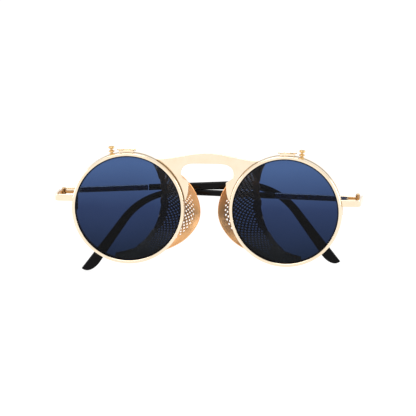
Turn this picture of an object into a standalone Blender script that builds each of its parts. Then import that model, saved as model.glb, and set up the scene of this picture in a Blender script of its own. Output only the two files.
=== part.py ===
"""Round steampunk sunglasses: flip-up tinted lenses over clear ones, perforated nose shields.

Metres. X runs to the right as seen from the front, Y runs from the front towards the wearer,
Z is up. The origin is the middle of the bridge plate's front face, above the keyhole. All
pieces hang on an empty at the frame's centre, which lies midway between the two eyewires, at
the height of their centres, in the plane of their front faces. Left and right are those of
someone who looks at the front. The temples are folded and the tinted lenses are down.
"""

import math

import bmesh
import bpy

# Clearances
SEAT_GAP = 0.0003
BORE_CLEARANCE = 0.0002
CUT_OVERRUN = 0.001

# Eyewires and flip rims
LENS_SPACING = 0.0722
RIM_OPENING_RADIUS = 0.0242
RIM_WALL = 0.0016
RIM_WIDTH = 0.0026
RIM_CHAMFER = 0.0004
RIM_GROOVE_DEPTH = 0.0007
RIM_SLIT_HEIGHT = 0.0011

# Lenses
LENS_CURVE_RADIUS = 0.26
CLEAR_LENS_THICKNESS = 0.0012
TINTED_LENS_THICKNESS = 0.0014

# Bridge plate with its keyhole arch
BRIDGE_TOP = 0.0258
BRIDGE_CROWN = 0.0049
BRIDGE_THICKNESS = 0.0012
BRIDGE_SET_BACK = 0.0004
BRIDGE_BEVEL = 0.0002
BRIDGE_TONGUE_WIDTH = 0.0006
BRIDGE_SHOULDER_ANGLE = math.radians(61)
BRIDGE_TONGUE_ANGLE = math.radians(7.5)
BRIDGE_RAIL_WIDTH = 0.0034
BRIDGE_CUSP_WIDTH = 0.0045
KEYHOLE_WAIST_HEIGHT = 0.016
KEYHOLE_CUSP_HEIGHT = 0.0122

# Perforated nose shields
SHIELD_DEPTH = 0.0175
SHIELD_BULGE = 0.0072
SHIELD_FLARE_DEPTH = 0.0064
SHIELD_WALL = 0.0005
SHIELD_ROOT_INSET = 0.0006
SHIELD_HOLE_RADIUS = 0.0008
SHIELD_TOP_ANGLE = 64
SHIELD_BOTTOM_ANGLE = -106
HOLE_COLUMNS = 20
HOLE_ROWS = 8

# End pieces
END_PIECE_REACH = 0.034
END_PIECE_HEIGHT = 0.0031
END_PIECE_THICKNESS = 0.001
END_PIECE_LIFT = 0.0038
END_PIECE_DROOP = 0.0008
END_PIECE_SET_BACK = 0.0002
END_PIECE_CORNER_RADIUS = 0.0026
END_PIECE_BEVEL = 0.0003
END_PIECE_LENGTH = 0.0155

# Closing blocks of the eyewires
RIM_LOCK_WIDTH = 0.0022
RIM_LOCK_DEPTH = 0.0022
RIM_LOCK_HEIGHT = 0.003
RIM_LOCK_SCREW_RADIUS = 0.0004
RIM_LOCK_HEAD_RADIUS = 0.0007
RIM_LOCK_HEAD_HEIGHT = 0.0005

# Flip hinges above the eyewires
FLIP_BARREL_RADIUS = 0.0008
FLIP_PIN_RADIUS = 0.00035
FLIP_PIN_HEAD_RADIUS = 0.0006
FLIP_PIN_HEAD_LENGTH = 0.0004
FLIP_HINGE_LENGTH = 0.0072
FLIP_MIDDLE_KNUCKLE = 0.0026
FLIP_HINGE_OFFSET = 0.0008
FLIP_SADDLE_WALL = 0.0009
FLIP_SADDLE_INSET = 0.0002

# Finger studs that lift the tinted lenses
STUD_OFFSET = 0.0074
STUD_LEAN = math.radians(4)
STUD_HEIGHT = 0.0037
STUD_DISC_RADIUS = 0.0014
STUD_NECK_RADIUS = 0.0006

# Temple hinges
HINGE_BARREL_RADIUS = 0.0011
HINGE_KNUCKLE_HEIGHT = 0.0009
HINGE_LEAF_THICKNESS = 0.0008
HINGE_LEAF_LENGTH = 0.0045
HINGE_SCREW_RADIUS = 0.00045
HINGE_SCREW_HEAD_RADIUS = 0.0009
HINGE_SCREW_HEAD_HEIGHT = 0.0005
HINGE_LIFT = 0.00295

# Temples
TEMPLE_STAGGER = 0.00065
LEFT_FOLD_ANGLE = math.radians(5)
RIGHT_FOLD_ANGLE = math.radians(4.5)
LEFT_TEMPLE_RISE = math.radians(2.3)
RIGHT_TEMPLE_RISE = math.radians(0.3)
ARM_HEIGHT = 0.0027
ARM_THICKNESS = 0.0013
ARM_CHANNEL_DEPTH = 0.0002
ARM_EDGE = 0.0003
TANG_THICKNESS = 0.0008
TANG_HEIGHT = 0.0014
TIP_START = 0.039
LEFT_TIP_BEND_START = 0.0798
RIGHT_TIP_BEND_START = 0.0822
TIP_BEND_RADIUS = 0.033
TIP_BEND_ANGLE = math.radians(55)
TIP_RUN = 0.031
TIP_THICKNESS = 0.0022
TIP_NECK_HEIGHT = 0.0028
TIP_PADDLE_HEIGHT = 0.0055
TIP_ROUND_LENGTH = 0.008
TIP_END_HEIGHT = 0.001
TANG_RUN_SHARE = 0.35

# Facets round each kind of round piece
RIM_SEGMENTS = 36
BARREL_SEGMENTS = 10
SCREW_SEGMENTS = 10
ARC_SEGMENTS = 10
TIP_SEGMENTS = 10

# Places worked out from the sizes above
HALF_SPACING = LENS_SPACING / 2
BRIDGE_MIDDLE_HEIGHT = BRIDGE_TOP - BRIDGE_CROWN / 2
RIM_OUTER_RADIUS = RIM_OPENING_RADIUS + RIM_WALL
SEAT_RADIUS = RIM_OUTER_RADIUS + SEAT_GAP
EYEWIRE_MIDDLE = RIM_WIDTH / 2
FLIP_RIM_MIDDLE = -SEAT_GAP - RIM_WIDTH / 2
FLIP_AXIS_DEPTH = -SEAT_GAP / 2
FLIP_AXIS_OUT = HALF_SPACING + FLIP_HINGE_OFFSET
FLIP_AXIS_HEIGHT = SEAT_RADIUS + FLIP_BARREL_RADIUS + SEAT_GAP / 2
END_PIECE_OUTSIDE = HALF_SPACING + END_PIECE_REACH
HINGE_OFFSET = HINGE_BARREL_RADIUS + SEAT_GAP
HINGE_AXIS_OUT = END_PIECE_OUTSIDE - END_PIECE_THICKNESS - HINGE_OFFSET
HINGE_AXIS_DEPTH = END_PIECE_LENGTH
ARM_MIDDLE = HINGE_OFFSET + ARM_THICKNESS / 2
SIDES = (("left", -1), ("right", 1))


def clear_scene():
    """Empty the scene."""
    for leftover in list(bpy.data.objects):
        bpy.data.objects.remove(leftover)


def make_material(name, colour, roughness, metallic, transmission=0.0):
    """A plain Principled material."""
    material = bpy.data.materials.new(name)
    material.use_nodes = True
    shader = material.node_tree.nodes["Principled BSDF"]
    shader.inputs["Base Color"].default_value = (*colour, 1.0)
    shader.inputs["Roughness"].default_value = roughness
    shader.inputs["Metallic"].default_value = metallic
    shader.inputs["Transmission Weight"].default_value = transmission
    return material


def gold(name):
    """Polished pale gold plate."""
    return make_material(name, (0.9, 0.72, 0.45), 0.12, 1.0)


def steel(name):
    """Gold-plated screw steel, a little duller than the frame."""
    return make_material(name, (0.78, 0.58, 0.34), 0.25, 1.0)


def clear_glass(name):
    """Uncoloured lens."""
    return make_material(name, (0.97, 0.98, 1.0), 0.02, 0.0, 0.95)


def blue_glass(name):
    """Blue-grey tinted lens."""
    return make_material(name, (0.06, 0.1, 0.2), 0.04, 0.0, 0.6)


def black_plastic(name):
    """Glossy black temple tip."""
    return make_material(name, (0.01, 0.01, 0.012), 0.15, 0.0)


def add_frame_centre():
    """The empty at the frame's centre, below and in front of the origin on the bridge."""
    centre = bpy.data.objects.new("frame_centre", None)
    centre.location = (0.0, -BRIDGE_SET_BACK, -BRIDGE_MIDDLE_HEIGHT)
    bpy.context.scene.collection.objects.link(centre)


def hang(thing, parent):
    """Put an object into the scene, on its parent or else on the frame's centre."""
    thing.parent = parent or bpy.data.objects["frame_centre"]
    bpy.context.scene.collection.objects.link(thing)


def add_axis(name, place, turn=0.0):
    """An empty on which a moving body hangs, turned about Z."""
    axis = bpy.data.objects.new(name, None)
    axis.location = place
    axis.rotation_euler = (0.0, 0.0, turn)
    hang(axis, None)
    return axis


def add_mesh(bm, name, material=None, parent=None, place=(0.0, 0.0, 0.0), turn=(0.0, 0.0, 0.0)):
    """Turn a bmesh into a smooth-shaded object with outward faces."""
    bmesh.ops.remove_doubles(bm, verts=bm.verts, dist=SEAT_GAP / 100)
    bmesh.ops.recalc_face_normals(bm, faces=bm.faces)
    mesh = bpy.data.meshes.new(name)
    bm.to_mesh(mesh)
    bm.free()
    mesh.shade_smooth()
    mesh.set_sharp_from_angle(angle=math.radians(35))
    if material:
        mesh.materials.append(material)
    piece = bpy.data.objects.new(name, mesh)
    piece.location = place
    piece.rotation_euler = turn
    hang(piece, parent)
    return piece


def combine(piece, tool, operation):
    """Join a guide to a piece, or cut the piece with it, and keep the guide out of the model."""
    tool.hide_render = True
    tool.display_type = "WIRE"
    change = piece.modifiers.new(tool.name, "BOOLEAN")
    change.operation = operation
    change.object = tool


def bevel_edges(piece, width):
    """One flat bevel on every sharp edge."""
    bevel = piece.modifiers.new("edge_bevel", "BEVEL")
    bevel.width = width
    bevel.segments = 1
    bevel.limit_method = "ANGLE"
    bevel.angle_limit = math.radians(50)


def loft(loops, closed=False):
    """Skin a row of equal loops of points: capped at both ends, or joined into a ring."""
    bm = bmesh.new()
    rows = [[bm.verts.new(point) for point in loop] for loop in loops]
    following = rows[1:] + rows[:1] if closed else rows[1:]
    for near, far in zip(rows, following):
        for index in range(len(near)):
            after = (index + 1) % len(near)
            bm.faces.new((near[index], near[after], far[after], far[index]))
    if not closed:
        bm.faces.new(rows[0])
        bm.faces.new(rows[-1])
    return bm


def turned(profile, segments):
    """Turn a profile of (radius, height) points, from axis to axis, about Z."""
    bm = bmesh.new()
    points = [bm.verts.new((radius, 0.0, height)) for radius, height in profile]
    edges = [bm.edges.new(pair) for pair in zip(points, points[1:])]
    bmesh.ops.spin(bm, geom=points + edges, cent=(0.0, 0.0, 0.0), axis=(0.0, 0.0, 1.0),
                   angle=2 * math.pi, steps=segments, use_merge=True)
    return bm


def prism(outline, bottom, top):
    """Extrude an (x, y) outline from one height to another."""
    low = [(x, y, bottom) for x, y in outline]
    high = [(x, y, top) for x, y in outline]
    return loft([low, high])


def box_tool(name, low, high, parent=None):
    """A box between two corners."""
    outline = [(low[0], low[1]), (high[0], low[1]), (high[0], high[1]), (low[0], high[1])]
    return add_mesh(prism(outline, low[2], high[2]), name, parent=parent)


def rod_tool(name, radius, start, end, place, turn=(0.0, 0.0, 0.0), parent=None,
             segments=BARREL_SEGMENTS):
    """A round rod along its own Z axis from start to end."""
    profile = [(0.0, start), (radius, start), (radius, end), (0.0, end)]
    return add_mesh(turned(profile, segments), name, parent=parent, place=place, turn=turn)


def arc(centre, radius, start, end, steps):
    """Points along a circular arc, both ends included."""
    angles = [start + (end - start) * step / steps for step in range(steps + 1)]
    return [(centre[0] + radius * math.cos(angle), centre[1] + radius * math.sin(angle))
            for angle in angles]


def bezier(start, pull, push, end, steps):
    """Points along a cubic curve, without its first one."""
    points = []
    for step in range(1, steps + 1):
        t = step / steps
        weights = ((1 - t) ** 3, 3 * t * (1 - t) ** 2, 3 * t * t * (1 - t), t ** 3)
        corners = (start, pull, push, end)
        points.append(tuple(sum(weight * corner[axis] for weight, corner in zip(weights, corners))
                            for axis in range(2)))
    return points


def rim_profile():
    """Section of a rim as (radius, depth from its middle): a V groove inside, chamfers outside."""
    half = RIM_WIDTH / 2
    inner = RIM_OPENING_RADIUS
    outer = RIM_OUTER_RADIUS
    return [(inner, -RIM_GROOVE_DEPTH), (inner + RIM_GROOVE_DEPTH, 0.0), (inner, RIM_GROOVE_DEPTH),
            (inner + RIM_CHAMFER / 2, half), (outer - RIM_CHAMFER, half),
            (outer, half - RIM_CHAMFER), (outer, RIM_CHAMFER - half),
            (outer - RIM_CHAMFER, -half), (inner + RIM_CHAMFER / 2, -half)]


def rim_loops(side, middle, start, sweep, steps, centre_out=0.0, centre_up=0.0):
    """The rim's section at each step round the eye; angle 0 points outwards."""
    loops = []
    for step in range(steps):
        angle = start + sweep * step / steps
        loops.append([(side * (centre_out + radius * math.cos(angle)), middle + depth,
                       centre_up + radius * math.sin(angle)) for radius, depth in rim_profile()])
    return loops


def make_eyewire(label, side):
    """Fixed rim, slit at the outer side where the closing blocks draw it together."""
    slit_half = SEAT_GAP / 2
    start = math.asin((RIM_SLIT_HEIGHT + slit_half) / RIM_OUTER_RADIUS)
    stop = math.asin((RIM_SLIT_HEIGHT - slit_half) / RIM_OUTER_RADIUS)
    sweep = (2 * math.pi + stop - start) * (RIM_SEGMENTS + 1) / RIM_SEGMENTS
    loops = rim_loops(side, EYEWIRE_MIDDLE, start, sweep, RIM_SEGMENTS + 1)
    name = label + "_eyewire"
    return add_mesh(loft(loops), name, gold(name), place=(side * HALF_SPACING, 0.0, 0.0))


def make_flip_rim(label, side, axis):
    """Moving rim in front, a closed ring."""
    loops = rim_loops(side, FLIP_RIM_MIDDLE - FLIP_AXIS_DEPTH, 0.0, 2 * math.pi, RIM_SEGMENTS,
                      -FLIP_HINGE_OFFSET, -FLIP_AXIS_HEIGHT)
    name = label + "_flip_rim"
    return add_mesh(loft(loops, closed=True), name, gold(name), axis)


def make_lens(name, material, thickness, place, parent=None):
    """Shallow dome that bows forwards, with a V bevel that sits in the rim's groove."""
    body = RIM_OPENING_RADIUS - SEAT_GAP
    bevel_tip = RIM_OPENING_RADIUS + RIM_GROOVE_DEPTH - SEAT_GAP * math.sqrt(2)
    edge_rise = math.sqrt(LENS_CURVE_RADIUS ** 2 - body ** 2)

    def rise(radius):
        return math.sqrt(LENS_CURVE_RADIUS ** 2 - radius ** 2) - edge_rise

    half = thickness / 2
    ring = body * math.sqrt(0.5)
    profile = [(0.0, -half + rise(0.0)), (ring, -half + rise(ring)), (body, -half),
               (bevel_tip, 0.0), (body, half), (ring, half + rise(ring)), (0.0, half + rise(0.0))]
    return add_mesh(turned(profile, RIM_SEGMENTS), name, material, parent, place,
                    (math.pi / 2, 0.0, 0.0))


KEYHOLE_FLAT_SHARE = 0.4


def beside_seat(height):
    """Distance from the middle plane to the clearance circle round an eyewire, at a height."""
    return HALF_SPACING - math.sqrt(SEAT_RADIUS ** 2 - height ** 2)


def bridge_half_outline():
    """Right half of the bridge, from the middle of its top edge round to the keyhole's crown."""
    shoulder = BRIDGE_SHOULDER_ANGLE
    ring = (HALF_SPACING, 0.0)
    top = (0.0, BRIDGE_TOP)
    meeting = (ring[0] - SEAT_RADIUS * math.cos(shoulder), SEAT_RADIUS * math.sin(shoulder))
    keyhole_top = BRIDGE_TOP - BRIDGE_CROWN
    cusp = (beside_seat(KEYHOLE_CUSP_HEIGHT) - BRIDGE_CUSP_WIDTH, KEYHOLE_CUSP_HEIGHT)
    waist = (beside_seat(KEYHOLE_WAIST_HEIGHT) - BRIDGE_RAIL_WIDTH, KEYHOLE_WAIST_HEIGHT)
    crown = (waist[0] * KEYHOLE_FLAT_SHARE, keyhole_top)
    points = bezier(top, (meeting[0] * 0.34, BRIDGE_TOP), (meeting[0] * 0.64, meeting[1]),
                    meeting, ARC_SEGMENTS)
    points += arc(ring, SEAT_RADIUS, math.pi - shoulder, math.pi - BRIDGE_TONGUE_ANGLE,
                  ARC_SEGMENTS)[1:]
    tongue_tip = points[-1]
    blunt = (tongue_tip[0] - BRIDGE_TONGUE_WIDTH, tongue_tip[1] + BRIDGE_TONGUE_WIDTH)
    points.append(blunt)
    lean = (blunt[0] + cusp[0]) / 2 - BRIDGE_TONGUE_WIDTH
    points += bezier(blunt, (lean, (blunt[1] * 2 + cusp[1]) / 3),
                     (lean, (blunt[1] + cusp[1] * 2) / 3), cusp, 5)
    points += bezier(cusp, ((cusp[0] + waist[0]) / 2, (cusp[1] * 3 + waist[1]) / 4),
                     (waist[0], (cusp[1] + waist[1]) / 2), waist, 5)
    points += bezier(waist, (waist[0], (waist[1] + keyhole_top * 2) / 3),
                     ((crown[0] + waist[0] * 3) / 4, keyhole_top), crown, 7)
    return points


def make_bridge():
    """Flat plate that joins the eyewires, arched over the nose by a keyhole opening."""
    right = bridge_half_outline()
    left = [(-x, z) for x, z in reversed(right)]
    outline = right + left
    depth = BRIDGE_SET_BACK + BRIDGE_THICKNESS
    front = [(x, BRIDGE_SET_BACK, z) for x, z in outline]
    back = [(x, depth, z) for x, z in outline]
    bridge = add_mesh(loft([front, back]), "bridge_plate", gold("bridge_plate"))
    bevel_edges(bridge, BRIDGE_BEVEL)
    return bridge


# Nose shield: angle round the eye from the nose upwards in degrees, then the free edge's radius
# as a share of the rim opening, its depth as a share of the shield's, and the share of the bulge.
# Below it, the section's corners as shares of its way in and of its way back.
SHIELD_SHARES = (
    (64, 0.945, 0.21, 0.03),
    (43, 0.736, 0.53, 0.15),
    (31, 0.645, 0.75, 0.38),
    (6, 0.545, 0.97, 0.84),
    (-12, 0.55, 1.0, 1.0),
    (-29, 0.575, 1.0, 0.73),
    (-55, 0.686, 0.94, 0.08),
    (-79, 0.845, 0.73, 0.04),
    (-92, 0.915, 0.46, 0.03),
    (-106, 0.97, 0.21, 0.0),
)
SHIELD_SECTION_SHARES = ((0.0, 0.0), (0.22, 0.4), (0.6, 0.85), (1.0, 1.0))
SHIELD_HOLES_FROM_SHARE = 0.1
SHIELD_HOLES_TO_SHARE = 0.86
SHIELD_FRONT_MARGIN_SHARE = 0.13
SHIELD_EDGE_MARGIN_SHARE = 0.14


def shield_shares(angle):
    """Smooth reading of the table above at one angle, by cubic pieces with shared slopes."""
    rows = SHIELD_SHARES
    last = len(rows) - 1
    index = 0
    while index < last - 1 and angle < rows[index + 1][0]:
        index += 1
    near, far = rows[index], rows[index + 1]
    before, after = rows[max(index - 1, 0)], rows[min(index + 2, last)]
    span = far[0] - near[0]
    t = min(max((angle - near[0]) / span, 0.0), 1.0)
    values = []
    for column in (1, 2, 3):
        slope_near = (far[column] - before[column]) / (far[0] - before[0]) * span
        slope_far = (after[column] - near[column]) / (after[0] - near[0]) * span
        values.append((2 * t ** 3 - 3 * t * t + 1) * near[column] + (t ** 3 - 2 * t * t + t) * slope_near
                      + (3 * t * t - 2 * t ** 3) * far[column] + (t ** 3 - t * t) * slope_far)
    return values


def shield_point(around, along):
    """Point of the shield's outer face.

    around runs from 0 at the top end to 1 at the bottom end, along from 0 at the front border to 1
    at the free edge. The front border meets the rim at both ends and stands out beside it in the
    middle. Each section is a cubic curve from there back and in towards the eye.
    """
    angle = SHIELD_TOP_ANGLE + (SHIELD_BOTTOM_ANGLE - SHIELD_TOP_ANGLE) * around
    edge_share, depth_share, bulge_share = shield_shares(angle)
    root_radius = RIM_OUTER_RADIUS - SHIELD_ROOT_INSET
    root_depth = RIM_WIDTH + SEAT_GAP
    edge_radius = RIM_OPENING_RADIUS * edge_share
    edge_depth = root_depth + (SHIELD_DEPTH - root_depth) * depth_share
    front_radius = root_radius + SHIELD_BULGE * bulge_share
    front_depth = root_depth + SHIELD_FLARE_DEPTH * bulge_share
    profile = [(front_radius + (edge_radius - front_radius) * inward,
                front_depth + (edge_depth - front_depth) * backward)
               for inward, backward in SHIELD_SECTION_SHARES]
    t = along
    weights = ((1 - t) ** 3, 3 * t * (1 - t) ** 2, 3 * t * t * (1 - t), t ** 3)
    radius = sum(weight * corner[0] for weight, corner in zip(weights, profile))
    depth = sum(weight * corner[1] for weight, corner in zip(weights, profile))
    turn = math.radians(angle)
    return (-radius * math.cos(turn), depth, radius * math.sin(turn))


def lattice_place(column, row):
    """Where a point of the hole lattice lies on the shield, as (around, along)."""
    around = SHIELD_HOLES_FROM_SHARE + ((SHIELD_HOLES_TO_SHARE - SHIELD_HOLES_FROM_SHARE)
                                        * column / HOLE_COLUMNS)
    along = SHIELD_FRONT_MARGIN_SHARE + ((1 - SHIELD_FRONT_MARGIN_SHARE - SHIELD_EDGE_MARGIN_SHARE)
                                         * row / HOLE_ROWS)
    return around, along


def distance(first, second):
    """Distance between two points."""
    return math.dist(first, second)


def shield_hole(column, row):
    """Six corners of a round hole in the middle of a lattice cell, smaller in a small cell."""
    around, along = lattice_place(column, row)
    width = distance(shield_point(*lattice_place(column - 1, row)),
                     shield_point(*lattice_place(column + 1, row)))
    height = distance(shield_point(*lattice_place(column, row - 1)),
                      shield_point(*lattice_place(column, row + 1)))
    radius = min(SHIELD_HOLE_RADIUS, width * height / math.hypot(width, height) * 0.36)
    corners = []
    for corner in range(6):
        angle = math.radians(60 * corner)
        shifted = lattice_place(column + 2 * radius / width * math.cos(angle),
                                row + 2 * radius / height * math.sin(angle))
        corners.append(shield_point(*shifted))
    return corners


def shield_faces():
    """Faces of the pierced sheet: diamond cells with a hole each, triangles along the lattice's
    edges, and a plain border all round."""
    faces = []

    def corner(column, row):
        return shield_point(*lattice_place(column, row))

    for column in range(1, HOLE_COLUMNS):
        for row in range(1, HOLE_ROWS):
            if (column + row) % 2 == 0:
                continue
            east, west = corner(column + 1, row), corner(column - 1, row)
            north, south = corner(column, row + 1), corner(column, row - 1)
            hole = shield_hole(column, row)
            faces += [(east, north, hole[1], hole[0]), (north, hole[2], hole[1]),
                      (north, west, hole[3], hole[2]), (west, south, hole[4], hole[3]),
                      (south, hole[5], hole[4]), (south, east, hole[0], hole[5])]
    for column in range(0, HOLE_COLUMNS, 2):
        faces.append((corner(column, 0), corner(column + 2, 0), corner(column + 1, 1)))
        faces.append((corner(column + 2, HOLE_ROWS), corner(column, HOLE_ROWS),
                      corner(column + 1, HOLE_ROWS - 1)))
    for row in range(0, HOLE_ROWS, 2):
        faces.append((corner(0, row + 2), corner(0, row), corner(1, row + 1)))
        faces.append((corner(HOLE_COLUMNS, row), corner(HOLE_COLUMNS, row + 2),
                      corner(HOLE_COLUMNS - 1, row + 1)))

    columns = [lattice_place(column, 0)[0] for column in range(0, HOLE_COLUMNS + 1, 2)]
    rows = [lattice_place(0, row)[1] for row in range(0, HOLE_ROWS + 1, 2)]
    first, last = columns[0], columns[-1]
    around_lines = [0.0, first / 2] + columns + [(1 + last) / 2, 1.0]
    along_lines = [0.0] + rows + [(1 + rows[-1]) / 2, 1.0]
    for around, around_next in zip(around_lines, around_lines[1:]):
        for along, along_next in zip(along_lines, along_lines[1:]):
            pierced = around >= first and around_next <= last
            if pierced and along >= rows[0] and along_next <= rows[-1]:
                continue
            faces.append((shield_point(around, along), shield_point(around_next, along),
                          shield_point(around_next, along_next), shield_point(around, along_next)))
    return faces


def make_nose_shield(label, side):
    """Pierced sheet, dished, soldered behind the eyewire above and below on the nose side; it
    rests on the nose in place of pads."""
    bm = bmesh.new()
    for face in shield_faces():
        corners = [bm.verts.new((side * x, y, z)) for x, y, z in face]
        bm.faces.new(corners if side < 0 else corners[::-1])
    bmesh.ops.remove_doubles(bm, verts=bm.verts, dist=SEAT_GAP / 100)
    name = label + "_nose_shield"
    mesh = bpy.data.meshes.new(name)
    bm.to_mesh(mesh)
    bm.free()
    mesh.shade_smooth()
    mesh.materials.append(gold(name))
    shield = bpy.data.objects.new(name, mesh)
    shield.location = (side * HALF_SPACING, 0.0, 0.0)
    hang(shield, None)
    wall = shield.modifiers.new("sheet", "SOLIDIFY")
    wall.thickness = SHIELD_WALL
    wall.offset = -1.0
    return shield


def make_end_piece(label, side):
    """Strip from the rim outwards, round the corner and back to the temple hinge."""
    start = HALF_SPACING + RIM_OUTER_RADIUS - CUT_OVERRUN
    corner = (END_PIECE_OUTSIDE - END_PIECE_CORNER_RADIUS,
              END_PIECE_SET_BACK + END_PIECE_CORNER_RADIUS)
    inner_radius = END_PIECE_CORNER_RADIUS - END_PIECE_THICKNESS
    outline = [(start, END_PIECE_SET_BACK)]
    outline += arc(corner, END_PIECE_CORNER_RADIUS, -math.pi / 2, 0.0, 5)
    outline += [(END_PIECE_OUTSIDE, END_PIECE_LENGTH),
                (END_PIECE_OUTSIDE - END_PIECE_THICKNESS, END_PIECE_LENGTH)]
    outline += arc(corner, inner_radius, 0.0, -math.pi / 2, 4)
    outline += [(start, END_PIECE_SET_BACK + END_PIECE_THICKNESS)]
    loops = []
    for half in (-END_PIECE_HEIGHT / 2, END_PIECE_HEIGHT / 2):
        loops.append([(side * x, y, END_PIECE_LIFT + half - END_PIECE_DROOP * y / END_PIECE_LENGTH)
                      for x, y in outline])
    name = label + "_end_piece"
    end_piece = add_mesh(loft(loops), name, gold(name))
    bevel_edges(end_piece, END_PIECE_BEVEL)
    room = rod_tool(name + "_rim_room", SEAT_RADIUS, -RIM_WIDTH, RIM_WIDTH * 2,
                    (side * HALF_SPACING, 0.0, 0.0), (-math.pi / 2, 0.0, 0.0),
                    segments=RIM_SEGMENTS * 2)
    combine(end_piece, room, "DIFFERENCE")
    return end_piece


def leaf_outline(direction):
    """Hinge leaf seen from above as (outwards, along): a strip that rolls into a round knuckle."""
    face = HINGE_BARREL_RADIUS
    back = HINGE_BARREL_RADIUS - HINGE_LEAF_THICKNESS
    meeting = math.acos(back / HINGE_BARREL_RADIUS)
    knuckle = arc((0.0, 0.0), HINGE_BARREL_RADIUS, 0.0, 2 * math.pi - meeting, BARREL_SEGMENTS)
    outline = [(face, -HINGE_LEAF_LENGTH)] + knuckle + [(back, -HINGE_LEAF_LENGTH)]
    return [(out, direction * along) for out, along in outline]


def make_frame_leaf(label, side):
    """Hinge leaf on the end piece, with an upper and a lower knuckle."""
    half = HINGE_KNUCKLE_HEIGHT * 1.5 + SEAT_GAP
    slot = HINGE_KNUCKLE_HEIGHT / 2 + SEAT_GAP
    name = label + "_frame_hinge_leaf"
    place = (side * HINGE_AXIS_OUT, HINGE_AXIS_DEPTH, HINGE_LIFT)
    outline = [(side * out, along) for out, along in leaf_outline(1)]
    leaf = add_mesh(prism(outline, -half, half), name, gold(name), place=place)
    reach = HINGE_BARREL_RADIUS + SEAT_GAP
    room = box_tool(name + "_room", (-reach - CUT_OVERRUN, -reach, -slot),
                    (reach + CUT_OVERRUN, reach + CUT_OVERRUN, slot))
    room.location = place
    combine(leaf, room, "DIFFERENCE")
    bore = rod_tool(name + "_bore", HINGE_SCREW_RADIUS + BORE_CLEARANCE, -half - CUT_OVERRUN,
                    half + CUT_OVERRUN, place, segments=SCREW_SEGMENTS)
    combine(leaf, bore, "DIFFERENCE")
    return leaf


def make_temple_leaf(label, side, axis):
    """Hinge leaf on the temple, with the middle knuckle."""
    half = HINGE_KNUCKLE_HEIGHT / 2
    name = label + "_temple_hinge_leaf"
    outline = [(-side * along, out) for out, along in leaf_outline(-1)]
    leaf = add_mesh(prism(outline, -half, half), name, gold(name), axis)
    bore = rod_tool(name + "_bore", HINGE_SCREW_RADIUS + BORE_CLEARANCE, -half - CUT_OVERRUN,
                    half + CUT_OVERRUN, (0.0, 0.0, 0.0), parent=axis, segments=SCREW_SEGMENTS)
    combine(leaf, bore, "DIFFERENCE")
    return leaf


def screw_profile(shank_radius, head_radius, head_height, length):
    """Turned screw with its head's seat at height 0 and its shank hanging down."""
    crown = head_radius * 0.6
    return [(0.0, -length), (shank_radius, -length), (shank_radius, 0.0), (head_radius, 0.0),
            (head_radius, head_height * 0.6), (crown, head_height), (0.0, head_height)]


def make_hinge_screw(label, side):
    """Screw that pins the temple hinge, put in from above."""
    half = HINGE_KNUCKLE_HEIGHT * 1.5 + SEAT_GAP
    name = label + "_temple_hinge_screw"
    profile = screw_profile(HINGE_SCREW_RADIUS, HINGE_SCREW_HEAD_RADIUS, HINGE_SCREW_HEAD_HEIGHT,
                            2 * half + SEAT_GAP)
    place = (side * HINGE_AXIS_OUT, HINGE_AXIS_DEPTH, HINGE_LIFT + half + SEAT_GAP)
    return add_mesh(turned(profile, SCREW_SEGMENTS), name, steel(name), place=place)


def rim_lock_place():
    """Middle of the closing blocks as (outwards, depth): behind the rim's outer side."""
    outwards = HALF_SPACING + RIM_OUTER_RADIUS - RIM_LOCK_WIDTH / 2
    depth = RIM_WIDTH + SEAT_GAP + RIM_LOCK_DEPTH / 2
    return outwards, depth


def make_rim_lock(label, side):
    """Two closing blocks behind the rim, one each side of its slit, and their screw."""
    outwards, depth = rim_lock_place()
    name = label + "_rim_lock"
    half_width, half_depth = RIM_LOCK_WIDTH / 2, RIM_LOCK_DEPTH / 2
    lift = RIM_SLIT_HEIGHT + SEAT_GAP / 2
    fall = RIM_SLIT_HEIGHT - SEAT_GAP / 2
    place = (side * outwards, depth, 0.0)
    outline = [(-half_width, -half_depth), (half_width, -half_depth), (half_width, half_depth),
               (-half_width, half_depth)]
    upper = add_mesh(prism(outline, lift, lift + RIM_LOCK_HEIGHT), name + "_upper",
                     gold(name + "_upper"), place=place)
    lower = add_mesh(prism(outline, fall - RIM_LOCK_HEIGHT, fall), name + "_lower",
                     gold(name + "_lower"), place=place)
    bottom = fall - RIM_LOCK_HEIGHT
    length = 2 * RIM_LOCK_HEIGHT - RIM_LOCK_HEAD_HEIGHT
    profile = screw_profile(RIM_LOCK_SCREW_RADIUS, RIM_LOCK_HEAD_RADIUS, RIM_LOCK_HEAD_HEIGHT,
                            length)
    add_mesh(turned(profile, SCREW_SEGMENTS), name + "_screw", steel(name + "_screw"),
             place=(place[0], depth, bottom - SEAT_GAP), turn=(math.pi, 0.0, 0.0))
    bore_top = bottom + length + SEAT_GAP
    for block in (upper, lower):
        bore = rod_tool(block.name + "_bore", RIM_LOCK_SCREW_RADIUS + BORE_CLEARANCE,
                        bottom - CUT_OVERRUN, bore_top, place, segments=SCREW_SEGMENTS)
        combine(block, bore, "DIFFERENCE")


def saddle(side, back):
    """Curved foot of a flip hinge on a rim's outer edge, from the hinge axis to its back."""
    inner, outer = SEAT_RADIUS, SEAT_RADIUS + FLIP_SADDLE_WALL
    half = math.asin((FLIP_HINGE_LENGTH / 2 - FLIP_SADDLE_INSET) / outer)
    middle = math.acos(FLIP_HINGE_OFFSET / outer)
    centre = (-FLIP_HINGE_OFFSET, -FLIP_AXIS_HEIGHT)
    section = arc(centre, outer, middle - half, middle + half, ARC_SEGMENTS)
    section += arc(centre, inner, middle + half, middle - half, ARC_SEGMENTS)
    return loft([[(side * x, depth, z) for x, z in section] for depth in (0.0, back)])


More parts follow.
